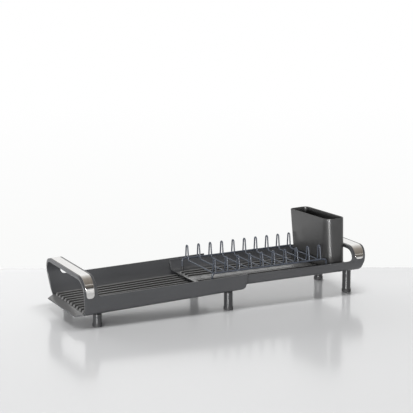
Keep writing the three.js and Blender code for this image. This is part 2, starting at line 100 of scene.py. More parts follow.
holder = Sizes(
    height=88.7, wall=2.2, floor=2.5, base_round=3, flat_inset=4, slots=5, slot_width=4, slot_length=18,
    slot_pitch=21, slot_middle=254.8, slot_slant=0.057, cut_beyond=1,
    # Corners, anticlockwise from above: x at the base and at the rim, y, radius at the base and at the rim
    corners=(((267, 267), 61, (11, 11)), ((235.6, 228.8), 57.5, (7, 7)), ((240.2, 239.0), -63, (19, 15.5)),
             ((277.8, 277.8), -63, (11, 11))),
)
TOUCH = 0.3  # between two pieces that rest on one another
RIM_ROUND = 0.8

# The control points of the wall's two curves, as shares of the flare, of the tuck and of the curve's height
pull = Sizes(floor_out=0.53, belt_in=0.26, belt_low=0.35, belt_out=0.04, belt_high=0.5, crown_in=0.35)
CROWN = 2.0  # the crown's place on the section, with the floor's edge at 0 and the belt at 1

# Mesh lines: how many there are on each part, and how close to a marked one they may lie
grid = Sizes(
    wall=20, upper=22, crown=8, lip=6, handle=9, handle_end=4, fillet=8, trough=44, strip=26, strip_across=10,
    strip_edge=0.06, wall_apart=0.014, handle_apart=0.03, strip_apart=0.01, apart=1,
)
# Where they lie beside a rib's middle, over the curb, back from each tray's far end and before the handle's
# pocket: closest together where the shape curves most
RIB_LINES = (0, 1.1, 1.9, 2.4, 2.68, 2.8, 3.0, 3.6)
CURB_LINES = (-0.8, -0.3, 0, 0.1, 0.35, 0.8, 1.5, 2.2, 2.65, 2.9, 3, 3.3, 3.8)
MAIN_END_LINES = (4, 1.3)
SLIDING_END_LINES = (9.2, 9, 8.2, 7.5, 6.8, 6.2, 5.7, 5.3, 5, 4.2, 2.8, 1.3)
HANDLE_LINES = (0, 0.27, 0.34, 0.48, 0.64, 0.82)
END_BLEND = 24  # how far back from a rounded far end the lines lean with it
SIDES = ("front", -1), ("rear", 1)
SHARP_ANGLE = math.radians(42)
LEAST_MITRE = 0.4  # bounds a rim's inset where it turns
ROUNDING_ERROR = 1e-6


def turning_point(low, high, below):
    """Where below(value), true at low, turns false on the way to high."""
    for _ in range(40):
        middle = (low + high) / 2
        low, high = (middle, high) if below(middle) else (low, middle)
    return low


class Tray:
    """One moulded tray in its own frame, with its handle at the left. Lengths run along its sloping floor.

    One with its handle at the right is turned half round, about the middle of the length given as turned.
    """

    def __init__(self, **sizes):
        vars(self).update(sizes)
        self.pocket_z = self.strip_end - strip.gap
        self.fillet_top = self.rim_at_handle + self.rim_fillet
        self.end = self.start + self.body_length
        self.rim_start = self.start + self.handle_width - self.handle_lean + self.handle_taper

    def section(self, t):
        """Half width, height and the way inwards at t, from 0 at the floor's edge to 2 at the crown."""
        flare, tuck = self.belt_half - self.floor_half, self.belt_half - self.crown_half
        above = self.crown_height - self.belt_height
        if t <= 1:
            a, d = (self.floor_half, 0), (self.belt_half, self.belt_height)
            b = (self.floor_half + flare * pull.floor_out, 0)
            c = (self.belt_half - flare * pull.belt_in, self.belt_height * pull.belt_low)
        else:
            t -= 1
            a, d = (self.belt_half, self.belt_height), (self.crown_half, self.crown_height)
            b = (self.belt_half + flare * pull.belt_out, self.belt_height + above * pull.belt_high)
            c = (self.belt_half - tuck * pull.crown_in, self.crown_height)
        r = 1 - t
        y, z = (r**3 * a[k] + 3 * r * r * t * b[k] + 3 * r * t * t * c[k] + t**3 * d[k] for k in (0, 1))
        along_y, along_z = (r * r * (b[k] - a[k]) + 2 * r * t * (c[k] - b[k]) + t * t * (d[k] - c[k])
                            for k in (0, 1))
        size = math.hypot(along_y, along_z)
        return y, z, -along_z / size, along_y / size

    def skin(self, t, depth):
        """Half width and height on the outside, at depth 0, or on the inside, at depth 1."""
        y, z, inward_y, inward_z = self.section(t)
        share = max(0.0, (z - self.belt_height) / (self.crown_height - self.belt_height))
        thick = (self.wall + (self.crown_thick - self.wall) * share * share) * depth
        return y + inward_y * thick, z + inward_z * thick

    @lru_cache(maxsize=None)
    def t_at(self, height, depth=0):
        return turning_point(0.0, CROWN, lambda t: self.skin(t, depth)[1] < height)

    def left_edge(self, z):
        """The handle's outer edge in side view, rounded into the floor."""
        if z >= self.start_round:
            return self.start - self.handle_lean * z / self.crown_height
        q = math.sqrt(max(z, 0.0) / self.start_round)
        leaning = self.handle_lean * self.start_round / self.crown_height
        return self.start + self.start_round * (1 - q) ** 2 - q * q * leaning

    def handle_edge(self, z):
        """The handle's edge over the tray, straight from the rim's fillet to the crown."""
        share = max(0.0, (z - self.fillet_top) / (self.crown_height - self.fillet_top))
        return self.rim_start - self.handle_taper * share

    def far_edge(self, z):
        """The end away from the handle in side view, rounded into the floor."""
        if z >= self.end_round:
            return self.end
        return self.end - self.end_round * (1 - math.sqrt(max(z, 0.0) / self.end_round)) ** 2

    def rim_height(self, x):
        """The rim's height: a fillet down from the handle, then straight to the far end."""
        beyond = x - self.rim_start
        if beyond <= self.rim_fillet:
            drop = (1 - math.sqrt(max(beyond, 0.0) / self.rim_fillet)) ** 2
            return self.rim_at_handle + self.rim_fillet * drop
        share = (beyond - self.rim_fillet) / (self.end - self.rim_start - self.rim_fillet)
        return self.rim_at_handle + (self.rim_at_end - self.rim_at_handle) * share

    def world(self, x, y, z):
        """A point of the tray, from its own frame to the whole drainer's, in metres."""
        if self.turned:
            x, y = self.turned - x, -y
        return self.from_left(x, y, z)

    def from_left(self, x, y, z):
        """A point over the tray's floor, with x from its left end whichever way it is turned, in metres."""
        c, s = math.cos(self.slope), math.sin(self.slope)
        return Vector(((self.at_x + x * c - z * s) * MM, y * MM, (self.at_z + x * s + z * c) * MM))


main = Tray(
    start=lip.length, body_length=294, floor_half=72, belt_half=91, belt_height=40, crown_half=67,
    crown_height=68, wall=3, crown_thick=6.5, rim_at_handle=33.2, rim_at_end=29.9, slope=math.radians(2.45),
    handle_width=24, handle_lean=5.2, handle_taper=2, rim_fillet=9, start_round=0, end_round=9, strip_end=32,
    turned=0, at_x=cad_low.x / MM, at_z=20.4,
)
main_end_z = main.at_z + main.end * math.sin(main.slope)
sliding_slope = math.radians(0.8)
sliding_length = 300
sliding = Tray(
    start=0, body_length=sliding_length, floor_half=66, belt_half=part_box("sliding_tray")[1].y / MM,
    belt_height=18, crown_half=60, crown_height=44.3, wall=3, crown_thick=6, rim_at_handle=20,
    rim_at_end=20.4, slope=sliding_slope, handle_width=27, handle_lean=8.5, handle_taper=1.5, rim_fillet=9,
    start_round=6, end_round=6, strip_end=23, turned=sliding_length,
    at_x=cad_low.x / MM + main.end * math.cos(main.slope) - stop.overlap,
    at_z=main_end_z + main.wall + rib.end_height + stop.clearance - stop.overlap * math.sin(sliding_slope),
)


# Mesh helpers

def in_scene(name, data):
    obj = bpy.data.objects.new(name, data)
    bpy.context.scene.collection.objects.link(obj)
    return obj


def new_object(name, verts, faces, polished_painted_light=()):
    """A closed mesh with its normals outwards, smooth but for its sharp edges.

    polished lists the faces that take the object's second material.
    """
    mesh = bpy.data.meshes.new(name)
    mesh.from_pydata([tuple(v) for v in verts], [], [tuple(f) for f in faces])
    for index in polished_painted_light:
        mesh.polygons[index].material_index = 1
    bm = bmesh.new()
    bm.from_mesh(mesh)
    bmesh.ops.recalc_face_normals(bm, faces=bm.faces)
    bm.to_mesh(mesh)
    bm.free()
    mesh.shade_smooth()
    mesh.set_sharp_from_angle(angle=SHARP_ANGLE)
    return in_scene(name, mesh)


def dress(obj, body, slot, nodes, *materials):
    """Gives a piece its materials and its body, and hides the solids' nodes that it replaces. The slot is not
    used.
    """
    for material in materials:
        obj.data.materials.append(material)
    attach(obj, body)
    if nodes:
        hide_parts(*nodes)


def edges_used_once(quads):
    """The edges round a patch of quads, each as (start, end, its quad)."""
    uses = {}
    for quad in quads:
        for a, b in zip(quad, quad[1:] + quad[:1]):
            uses.setdefault(frozenset((a, b)), []).append((a, b, quad))
    return [found[0] for found in uses.values() if len(found) == 1]


def closed_skin(name, place, quads, rim, pocket=(), polished_painted_light=lambda quad: False, grooved=None, steps=4):
    """An outside and an inside skin over the same quads, joined round their open edges by a rounded rim.

    place(key, skin) gives a corner on the skin "out", "in" or "pocket". A pocket is sunk in the outside.
    grooved(key) says how deep in a groove a corner of the inside lies, from 0 to 1, which sets its painted
    shade.
    """
    verts, index = [], {}

    def corner(key, skin):
        if (key, skin) not in index:
            index[key, skin] = len(verts)
            verts.append(place(key, skin))
        return index[key, skin]

    sunk = set(pocket)
    faces = [[corner(k, "pocket" if quad in sunk else "out") for k in quad] for quad in quads]
    # Faces that take the polished material, whose lighter colour is painted light
    glossy = []
    for quad in quads:
        if polished_painted_light(quad):
            glossy.append(len(faces))
        faces.append([corner(k, "in") for k in quad])
    for a, b, _ in edges_used_once(pocket):
        faces.append([corner(a, "out"), corner(b, "out"), corner(b, "pocket"), corner(a, "pocket")])

    open_edges = edges_used_once(quads)
    inwards = {}
    for a, b, quad in open_edges:
        for skin in ("out", "in"):
            start, end = verts[corner(a, skin)], verts[corner(b, skin)]
            middle = sum((verts[corner(k, skin)] for k in quad), Vector()) / 4
            along = (end - start).normalized()
            way = middle - start
            way = (way - along * way.dot(along)).normalized()
            for key in (a, b):
                inwards.setdefault((key, skin), []).append(way)
    rings = {}
    for key in {k for a, b, _ in open_edges for k in (a, b)}:
        ring = []
        ends = [verts[corner(key, skin)].copy() for skin in ("out", "in")]
        across = (ends[1] - ends[0]).normalized()
        for skin, here, over in (("out", ends[0], across), ("in", ends[1], -across)):
            first, second = inwards[key, skin]
            inward = (first + second) / max(LEAST_MITRE, 1 + first.dot(second)) * rim * MM
            turn = [here + inward * (1 - math.sin(angle)) + over * rim * MM * (1 - math.cos(angle))
                    for angle in (math.pi / 2 * i / steps for i in range(steps + 1))]
            verts[corner(key, skin)] = turn[0]
            ids = [corner(key, skin)]
            for point in turn[1:]:
                ids.append(len(verts))
                verts.append(point)
            ring += ids if skin == "out" else ids[::-1]
        rings[key] = ring
    for a, b, _ in open_edges:
        for i in range(2 * steps + 1):
            faces.append([rings[a][i], rings[b][i], rings[b][i + 1], rings[a][i + 1]])
    obj = new_object(name, verts, faces, glossy)
    if grooved:
        depths = obj.data.attributes.new(GROOVE, "FLOAT", "POINT")
        for (key, skin), i in index.items():
            depths.data[i].value = grooved(key) if skin == "in" else 0.0
    return obj


def lathe(name, profile, x, y, sides=56, top=None):
    """A turned piece. profile holds (radius, height) from the axis to the axis.

    Where a height is None the ring slants, and top(x) is its height.
    """
    verts, faces, rings = [], [], []
    for radius, height in profile:
        if radius == 0:
            rings.append([len(verts)])
            verts.append(Vector((x * MM, y * MM, height * MM)))
            continue
        rings.append(list(range(len(verts), len(verts) + sides)))
        for i in range(sides):
            angle = 2 * math.pi * i / sides
            px, py = x + radius * math.cos(angle), y + radius * math.sin(angle)
            verts.append(Vector((px * MM, py * MM, (top(px) if height is None else height) * MM)))
    for low, high in zip(rings, rings[1:]):
        for i in range(sides):
            j = (i + 1) % sides
            if len(low) == 1:
                faces.append((low[0], high[i], high[j]))
            elif len(high) == 1:
                faces.append((low[i], high[0], low[j]))
            else:
                faces.append((low[i], low[j], high[j], high[i]))
    return new_object(name, verts, faces)


def arc(centre, radius, start, end, steps):
    """Points (a, b) of an arc between two angles in degrees."""
    angles = [math.radians(start + (end - start) * i / steps) for i in range(steps + 1)]
    return [(centre[0] + radius * math.cos(a), centre[1] + radius * math.sin(a)) for a in angles]


def loft(name, rings):
    """A closed piece through a row of rings, flat at both ends."""
    n, last = len(rings[0]), len(rings) - 1
    faces = [(i * n + k, i * n + (k + 1) % n, (i + 1) * n + (k + 1) % n, (i + 1) * n + k)
             for i in range(last) for k in range(n)]
    faces += [tuple(range(n)), tuple(range(last * n, last * n + n))]
    return new_object(name, [point for ring in rings for point in ring], faces)


def tube(name, points, side_way, radius, place, swell=lambda index: 1.0, sides=16):
    """A round wire along a flat path, with side_way square to the path's plane.

    swell(index) widens it at a point of the path, and place(x, y, z) sets it in the drainer's frame.
    """
    rings = []
    for i, point in enumerate(points):
        along = (points[min(i + 1, len(points) - 1)] - points[max(i - 1, 0)]).normalized()
        other = along.cross(side_way)
        angles = (2 * math.pi * k / sides for k in range(sides))
        around = [side_way * math.cos(angle) + other * math.sin(angle) for angle in angles]
        rings.append([place(*(point + way * radius * swell(i))) for way in around])
    return loft(name, rings)


def bend(before, corner, after, radius, steps=8):
    """Points round the bend where a path turns at a corner."""
    inward, outward = (before - corner).normalized(), (after - corner).normalized()
    half = inward.angle(outward) / 2
    centre = corner + (inward + outward).normalized() * (radius / math.sin(half))
    start = corner + inward * (radius / math.tan(half)) - centre
    end = corner + outward * (radius / math.tan(half)) - centre
    sweep = start.angle(end)
    axis = start.cross(end).normalized()
    return [centre + Matrix.Rotation(sweep * i / steps, 3, axis) @ start for i in range(steps + 1)]


def even(low, high, count):
    """The ends and the steps between them."""
    return [low + (high - low) * i / count for i in range(count + 1)]


# Finishes

# groove_depth is the mask of the painted shade in the grooves between ribs
GROOVE = "groove"  # the mesh attribute that holds groove_depth
COLOUR_A, COLOUR_B, COLOUR_RESULT = 6, 7, 2  # the colour sockets of a Mix node
NOISE_LOW, NOISE_HIGH = 0.3, 0.7  # most of a noise's values lie between these
PLASTIC_IOR = 1.54
GROOVE_DULLNESS = 0.3


def feed(tree, target, inputs):
    """Gives a node's inputs, by name or number, their values or links from other nodes."""
    for key, value in inputs.items():
        socket = target.inputs[key]
        if isinstance(value, bpy.types.NodeSocket):
            tree.links.new(value, socket)
        else:
            socket.default_value = (*value, 1) if socket.type == "RGBA" else value


def node(tree, kind, inputs=(), **settings):
    new = tree.nodes.new(kind)
    for key, value in settings.items():
        setattr(new, key, value)
    feed(tree, new, dict(inputs))
    return new


def math_node(tree, operation, first, second):
    return node(tree, "ShaderNodeMath", {0: first, 1: second}, operation=operation).outputs[0]


def mix_colours(tree, factor, first, second):
    inputs = {"Factor": factor, COLOUR_A: first, COLOUR_B: second}
    return node(tree, "ShaderNodeMix", inputs, data_type="RGBA").outputs[COLOUR_RESULT]


def colour_stops(tree, source, stops):
    """A run of colours over a value from 0 to 1. stops are (position, colour)."""
    ramp = node(tree, "ShaderNodeValToRGB", {"Fac": source})
    elements = ramp.color_ramp.elements
    while len(elements) < len(stops):
        elements.new(1)
    for element, (position, colour) in zip(elements, stops):
        element.position, element.color = position, (*colour, 1)
    return ramp.outputs["Color"]


def noise(tree, scale, detail, stretch=(1, 1, 1)):
    """Noise over the object's own coordinates, in features a metre."""
    place = node(tree, "ShaderNodeTexCoord").outputs["Object"]
    mapping = node(tree, "ShaderNodeMapping", {"Vector": place, "Scale": stretch})
    inputs = {"Vector": mapping.outputs["Vector"], "Scale": scale, "Detail": detail}
    return node(tree, "ShaderNodeTexNoise", inputs).outputs["Fac"]


def spread(tree, source, low, high):
    """Turns a noise into a range of numbers or of colours."""
    if isinstance(low, tuple):
        return colour_stops(tree, source, ((NOISE_LOW, low), (NOISE_HIGH, high)))
    inputs = {"Value": source, "From Min": NOISE_LOW, "From Max": NOISE_HIGH, "To Min": low, "To Max": high}
    return node(tree, "ShaderNodeMapRange", inputs).outputs["Result"]


def bumps(tree, shader, sources):
    """Chains (height, strength, distance in metres) into the shader's normal."""
    taker = shader
    for height, strength, distance in reversed(sources):
        step = node(tree, "ShaderNodeBump", {"Height": height, "Strength": strength, "Distance": distance})
        tree.links.new(step.outputs["Normal"], taker.inputs["Normal"])
        taker = step


def node_material(name):
    material = bpy.data.materials.new(name)
    material.use_nodes = True
    return material, material.node_tree, material.node_tree.nodes["Principled BSDF"]


def varied(name, dark, light, smooth, rough, scales, heights=(), groove_colour=None, inputs=()):
    """A material that varies a little over the piece.

    scales are (features a metre, detail) for its colour and its roughness, and heights are its bumps, as
    (features a metre, detail, strength, distance in metres). In a groove the colour turns to the given shade
    colour, a painted shade, and the surface is duller.
    """
    material, tree, shader = node_material(name)
    colour = spread(tree, noise(tree, *scales[0]), dark, light)
    roughness = spread(tree, noise(tree, *scales[1]), smooth, rough)
    # Painted shade: deep in a groove the colour darkens towards the given shade colour
    if groove_colour:
        depth = node(tree, "ShaderNodeAttribute", attribute_name=GROOVE).outputs["Fac"]
        colour = mix_colours(tree, depth, colour, groove_colour)
        roughness = math_node(tree, "ADD", roughness, math_node(tree, "MULTIPLY", depth, GROOVE_DULLNESS))
    feed(tree, shader, {"Base Color": colour, "Roughness": roughness, **dict(inputs)})
    bumps(tree, shader, [(noise(tree, scale, detail), strength, distance)
                         for scale, detail, strength, distance in heights])
    return material


def moulded_plastic(name, grain, **looks):
    """Plastic with a fine grain on a slightly uneven surface."""
    return varied(name, scales=((14, 4), (70, 5)), inputs={"IOR": PLASTIC_IOR}, **looks,
                  heights=((4200, 2, grain, 0.00006), (40, 2, 0.003, 0.0004)))


def brushed_steel(name):
    material, tree, shader = node_material(name)
    along = noise(tree, 1500, 4, stretch=(1, 0.02, 0.02))
    feed(tree, shader, {"Base Color": spread(tree, along, (0.78, 0.77, 0.755), (0.87, 0.86, 0.845)),
                        "Roughness": spread(tree, along, 0.09, 0.13), "Metallic": 1.0})
    bumps(tree, shader, [(along, 0.03, 0.00003)])
    return material


satin = moulded_plastic("satin_tray_plastic", dark=(0.056, 0.0575, 0.061), light=(0.064, 0.0655, 0.0695),
                        smooth=0.28, rough=0.33, grain=0.06)
# Floor inside and lip: a polished, lighter copy of the tray plastic, painted light on the rib tops, with
# painted shade down in the grooves
polished_painted_light = moulded_plastic("polished_painted_light_tray_plastic", dark=(0.158, 0.158, 0.157), light=(0.172, 0.172, 0.171),
                           smooth=0.17, rough=0.20, grain=0.015, groove_colour=(0.004, 0.004, 0.004))
# Legs: a darker copy of the tray plastic, painted shade
leg_plastic_painted_shade = moulded_plastic("leg_plastic_painted_shade", dark=(0.032, 0.033, 0.035), light=(0.037, 0.038, 0.040),
                              smooth=0.29, rough=0.31, grain=0.02)
holder_plastic = moulded_plastic("holder_plastic", dark=(0.042, 0.042, 0.042), light=(0.047, 0.047, 0.047),
                                 smooth=0.29, rough=0.31, grain=0.02)
steel = brushed_steel("brushed_steel")
wire_coat = varied("coated_wire", dark=(0.050, 0.058, 0.076), light=(0.066, 0.076, 0.098), smooth=0.36,
                   rough=0.46, scales=((120, 4), (400, 3)), heights=((700, 2, 0.08, 0.0001),),
                   inputs={"Coat Weight": 0.15, "Coat Roughness": 0.15})
rubber = varied("foot_rubber", dark=(0.036, 0.036, 0.038), light=(0.050, 0.050, 0.052), smooth=0.5, rough=0.7,
                scales=((90, 4), (800, 3)), heights=((3000, 2, 0.15, 0.0001),))


# Trays

def ridge(distance, half, height, fillet):
    """Height of a round-topped ridge with filleted feet, at a distance from its middle."""
    if distance < half:
        return height * math.sqrt(1 - (distance / half) ** 2)
    fillet = min(fillet, height)
    beyond = distance - half
    return fillet - math.sqrt(fillet**2 - (fillet - beyond) ** 2) if beyond < fillet else 0.0


def nose_scale(beyond_tip):
    """Width and height of a rib's rounded nose, as a share of the rib's."""
    ahead = 1 - beyond_tip / rib.nose
    return math.sqrt(max(0.0, 1 - max(0.0, ahead) ** 2))


def ribs(rows, y, height, scale):
    """Height of a tray's ribs at y across it, where they are scaled to their nose."""
    if scale < rib.nose_least:
        return 0.0
    near = min(abs(y - row * rib.pitch) for row in rows)
    return ridge(near, rib.half * scale, height * scale, rib.fillet * scale)


def main_floor(x, y):
    """Height of the main tray's ribs over its floor."""
    height = rib.height + (rib.end_height - rib.height) * (x - rib.start) / (main.end - rib.start)
    return ribs(rib.main_rows, y, height, nose_scale(x - rib.start))


def sliding_floor(x, y):
    """Height of the sliding tray's ribs and of the curb by its handle."""
    middle = curb.inset + curb.width / 2
    over_curb = ridge(abs(x - middle), curb.width / 2, curb.height, rib.fillet)
    if x < middle:
        return over_curb
    scale = nose_scale(sliding.end - x - rib.sliding_start)
    return max(over_curb, ribs(rib.sliding_rows, y, rib.sliding_height, scale))


def groove_depth(tray, rows, beyond_edge, y):
    """How deep between the ribs a place lies, and so how much painted shade it takes: 0 on a rib's top and on
    open floor, 1 down in a groove.
    """
    first = (rib.sliding_start if tray is sliding else rib.start - tray.start) + rib.nose / 2
    if beyond_edge < first:
        return 0.0
    inner, outer = rows[0] * rib.pitch, rows[-1] * rib.pitch
    if tray is main and y <= inner - groove.reach:
        return 1.0  # between its two middle ribs
    if not inner - groove.reach < y < outer + groove.reach:
        return 0.0
    near = min(abs(y - row * rib.pitch) for row in rows)
    return min(1.0, max(0.0, (near - groove.start) / groove.blend))


def floor_lines(tray, rows):
    """Where mesh lines run along a tray's floor, from its middle outwards."""
    lines = {0.0, round(rib.channel_half, 3)}
    for row in rows:
        middle = row * rib.pitch
        lines |= {round(abs(middle + side * line), 3) for line in RIB_LINES for side in (-1, 1)}
        lines.add(round(middle + rib.pitch / 2, 3))
    return sorted(line for line in lines if line < tray.floor_half - grid.apart)


def corner_inset(distance, radius):
    """How far a rounded end draws in at a distance from its tip. Past the tip it eases out again."""
    if distance >= radius:
        return 0.0
    if distance >= 0:
        return radius - math.sqrt(radius**2 - (radius - distance) ** 2)
    return radius * max(0.0, 1 + distance / radius)


def spaced(values, marks, least):
    """Even values with the marks among them, less the values that lie too close to a mark."""
    return sorted([v for v in values if all(abs(v - mark) > least for mark in marks)] + list(marks))


def end_marks(tray, tip, radius):
    """Places on the section that follow a rounded end upwards from its tip."""
    return [tray.t_at(tip + radius * (1 - math.cos(math.radians(a)))) for a in (0, 15, 30, 45, 60, 75, 90)]


def tray_mesh(name, tray, rows, floor, has_lip, curb_places, end_lines):
    """A whole tray as one closed skin. floor(x, y) is the height of the ribs and the curb.

    Rows of the mesh lie over the floor, up the wall to the rim, on up the handle and over its crown, with
    negative numbers for the other half. Columns lie over the lip, the handle before the strip's pocket, the
    pocket, the rest of the handle, and the trough beyond.
    """
    pocket_radius = strip.end_radius + strip.gap
    fillet_t = tray.t_at(tray.fillet_top)
    marks = end_marks(tray, tray.pocket_z, pocket_radius)
    low_marks = [t / fillet_t for t in marks if t < fillet_t]
    high_marks = [(t - fillet_t) / (CROWN - fillet_t) for t in marks if t > fillet_t]
    # The lip's root ends at this share of the wall
    root = turning_point(0.0, 1.0, lambda t: tray.section(t)[0] < lip.root_half) / fillet_t if has_lip else 0
    wall = spaced(even(0, 1, grid.wall), low_marks + ([root] if has_lip else []), grid.wall_apart)
    upper = spaced(even(0, 1, grid.upper)[1:], high_marks, grid.wall_apart)
    lines = [("floor", y) for y in floor_lines(tray, rows)]
    lines += [("wall", s) for s in wall] + [("upper", s) for s in upper]
    lines += [("crown", y) for y in even(tray.crown_half, 0, grid.crown)[1:]]
    top = len(lines) - 1
    wall_top = top - grid.crown - len(upper)
    lip_top = wall_top - len(wall) + 1 + wall.index(root)

    left = tray.left_edge(tray.wall) + strip.margin - strip.gap
    right = tray.start + tray.handle_width - tray.handle_lean - strip.margin + strip.gap
    curb_marks = [(x - left) / (right - left) for x in curb_places]
    middle = spaced(even(0, 1, grid.handle)[:-1], curb_marks, grid.handle_apart)
    fillet = [tray.rim_start + tray.rim_fillet * (i / grid.fillet) ** 2 for i in range(1, grid.fillet + 1)]
    ends = [tray.end - line for line in end_lines] + [tray.end]
    long = [x for x in even(fillet[-1], tray.end, grid.trough)[1:-1] if x < ends[0] - grid.apart]
    columns = [("lip", s) for s in even(0, 1, grid.lip)[:-1]] if has_lip else []
    columns += [("near", s) for s in HANDLE_LINES] + [("middle", s) for s in middle]
    columns += [("late", s) for s in even(0, 1, grid.handle_end)[:-1]] + [("edge", 0)]
    columns += [("trough", x) for x in fillet + long + ends]

    def along(column, z, t):
        """Where a column crosses the section at t, which lies at height z."""
        kind, value = column
        if kind == "edge":
            return tray.handle_edge(z)
        if kind == "trough":
            return value - (tray.end - tray.far_edge(z)) * max(0.0, 1 - (tray.end - value) / END_BLEND)
        inset = corner_inset(tray.section(t)[1] - tray.pocket_z, pocket_radius)
        edges = (tray.left_edge(z), tray.left_edge(z) + strip.margin - strip.gap + inset, right - inset,
                 tray.handle_edge(z))
        part = ("near", "middle", "late").index(kind)
        return edges[part] + (edges[part + 1] - edges[part]) * value

    def place(key, skin):
        row, c = key
        column = columns[c]
        kind, value = lines[abs(row)]
        depth = 1 if skin == "in" else 0
        if kind == "floor":
            t, y, z = 0.0, value, tray.wall * depth
        elif kind == "crown":
            t, y, z = CROWN, value, tray.crown_height - tray.crown_thick * depth
        else:
            rim = tray.rim_height(column[1]) if column[0] == "trough" else tray.fillet_top
            rim_t = tray.t_at(rim, depth)
            t = value * rim_t if kind == "wall" else rim_t + value * (CROWN - rim_t)
            y, z = tray.skin(t, depth)
        x = along(("near", 0) if column[0] == "lip" else column, z, t)
        if depth and z < tray.crown_height / 2:
            z = max(z, tray.wall + floor(x, y)) if kind == "wall" else z + floor(x, y)
        if skin == "pocket":
            inward_y, inward_z = tray.section(t)[2:]
            sunk = strip.thick - strip.proud + strip.gap
            y, z = y + inward_y * sunk, z + inward_z * sunk
        if column[0] == "lip":
            share = column[1]
            x *= share
            y *= (lip.half + (lip.root_half - lip.half) * share) / lip.root_half
            z = z * (lip.tip + (tray.wall - lip.tip) * share) / tray.wall - lip.droop * (1 - share)
        return tray.world(x, y if row >= 0 else -y, z)

    def corner(row, c):
        """The key of a corner. Both halves meet in the crown's middle row."""
        return (top if row == -top else row, c)

    reach = {"lip": lip_top, "near": top, "middle": top, "late": top, "edge": wall_top, "trough": wall_top}
    pocket_t = marks[0] - ROUNDING_ERROR
    quads, pocket = [], []
    for c in range(len(columns) - 1):
        kind = columns[c][0]
        for row in range(-reach[kind], reach[kind]):
            quad = (corner(row, c), corner(row + 1, c), corner(row + 1, c + 1), corner(row, c + 1))
            quads.append(quad)
            line, value = lines[min(abs(row), abs(row + 1))]
            t = {"floor": 0.0, "wall": value * fillet_t, "upper": fillet_t + value * (CROWN - fillet_t),
                 "crown": CROWN}[line]
            if kind == "middle" and t >= pocket_t:
                pocket.append(quad)

    # The floor and the lip take the polished material, whose lighter colour is painted light
    def on_floor(quad):
        outer_row = max(abs(quad[0][0]), abs(quad[1][0]))
        return columns[quad[0][1]][0] == "lip" or lines[outer_row][0] == "floor"

    def grooved(key):
        kind, y = lines[abs(key[0])]
        column = columns[key[1]]
        if kind != "floor" or column[0] == "lip":
            return 0.0
        x = along(column, tray.wall, 0.0)
        return groove_depth(tray, rows, tray.end - x if tray.turned else x - tray.start, y)

    return closed_skin(name, place, quads, RIM_ROUND, pocket, on_floor, grooved)


def strip_mesh(name, tray):
    """The steel strip in a handle, a little proud of it, with rounded ends."""
    rounded_t = tray.t_at(tray.strip_end + strip.end_radius)
    ts = spaced(even(rounded_t, CROWN, grid.strip)[1:],
                end_marks(tray, tray.strip_end, strip.end_radius), grid.strip_apart)
    lines = [(t, None) for t in ts] + [(CROWN, y) for y in even(tray.crown_half, 0, grid.crown)[1:]]
    top = len(lines) - 1
    edges = (grid.strip_edge, 1 - grid.strip_edge)
    shares = spaced(even(0, 1, grid.strip_across), edges, grid.handle_apart)

    def place(key, skin):
        row, c, side = key
        t, y = lines[row]
        section_y, z, inward_y, inward_z = tray.section(t)
        y = section_y if y is None else y
        inset = corner_inset(z - tray.strip_end, strip.end_radius)
        left = tray.left_edge(z) + strip.margin + inset
        right = tray.start + tray.handle_width - tray.handle_lean - strip.margin - inset
        depth = -strip.proud if skin == "out" else strip.thick - strip.proud
        x = left + (right - left) * shares[c]
        return tray.world(x, side * (y + inward_y * depth), z + inward_z * depth)

    quads = []
    for side in (-1, 1):
        for row in range(top):
            for c in range(len(shares) - 1):
                quads.append(tuple((r, k, 1 if r == top else side)
                                   for r, k in ((row, c), (row + 1, c), (row + 1, c + 1), (row, c + 1))))
    return closed_skin(name, place, quads, strip.rounding)


def bar_mesh(name, tray, x0, x1, low, high, half, rounding):
    """A bar across a tray, on its floor or under it, with its free edges rounded."""
    root, z, way = (low, high, 1) if high > tray.wall else (high, low, -1)
    r, turns = rounding, even(0, math.pi / 2, 4)
    profile = [(x0, root)]
    profile += [(x0 + r - r * math.cos(a), z - way * r * (1 - math.sin(a))) for a in turns]
    profile += [(x1 - r + r * math.sin(a), z - way * r * (1 - math.cos(a))) for a in turns]
    profile += [(x1, root)]
    return loft(name, [[tray.world(x, side * half, z) for x, z in profile] for side in (-1, 1)])


main_shell = tray_mesh("main_tray_shell", main, rib.main_rows, main_floor, has_lip=True, curb_places=(),
                       end_lines=MAIN_END_LINES)
dress(main_shell, "main_frame", "tray_plastic", ("main_tray",), satin, polished_painted_light)
sliding_shell = tray_mesh("sliding_tray_shell", sliding, rib.sliding_rows, sliding_floor, has_lip=False,
                          curb_places=[curb.inset + line for line in CURB_LINES], end_lines=SLIDING_END_LINES)
dress(sliding_shell, "sliding_frame", "tray_plastic", ("sliding_tray",), satin, polished_painted_light)
for name, tray in (("main", main), ("sliding", sliding)):
    metal = strip_mesh(name + "_steel_strip", tray)
    dress(metal, name + "_frame", "handle_steel", (name + "_handle_strip",), steel)

# The stop at full length: a bar on the main tray's floor and a ridge under the sliding tray
bar_start = main.end - stop.overlap + sliding.end_round + stop.width + stop.play
underside = sliding.at_z + (bar_start - (sliding.at_x - main.at_x)) * math.sin(sliding.slope)
bar_top = underside - stop.clearance - main.at_z - bar_start * math.sin(main.slope)
bar_half = rib.main_rows[-1] * rib.pitch
stop_bar = bar_mesh("stop_bar", main, bar_start, bar_start + stop.width, main.wall / 2, bar_top, bar_half,
                    stop.rounding)
dress(stop_bar, "main_frame", "tray_plastic", (), satin)
ridge_end = sliding.end - sliding.end_round
stop_ridge = bar_mesh("stop_ridge", sliding, ridge_end - stop.width, ridge_end, -stop.ridge_drop,
                      sliding.wall / 2, sliding.floor_half - sliding.wall, stop.rounding)
dress(stop_ridge, "sliding_frame", "tray_plastic", (), satin)


# Legs and rubber feet

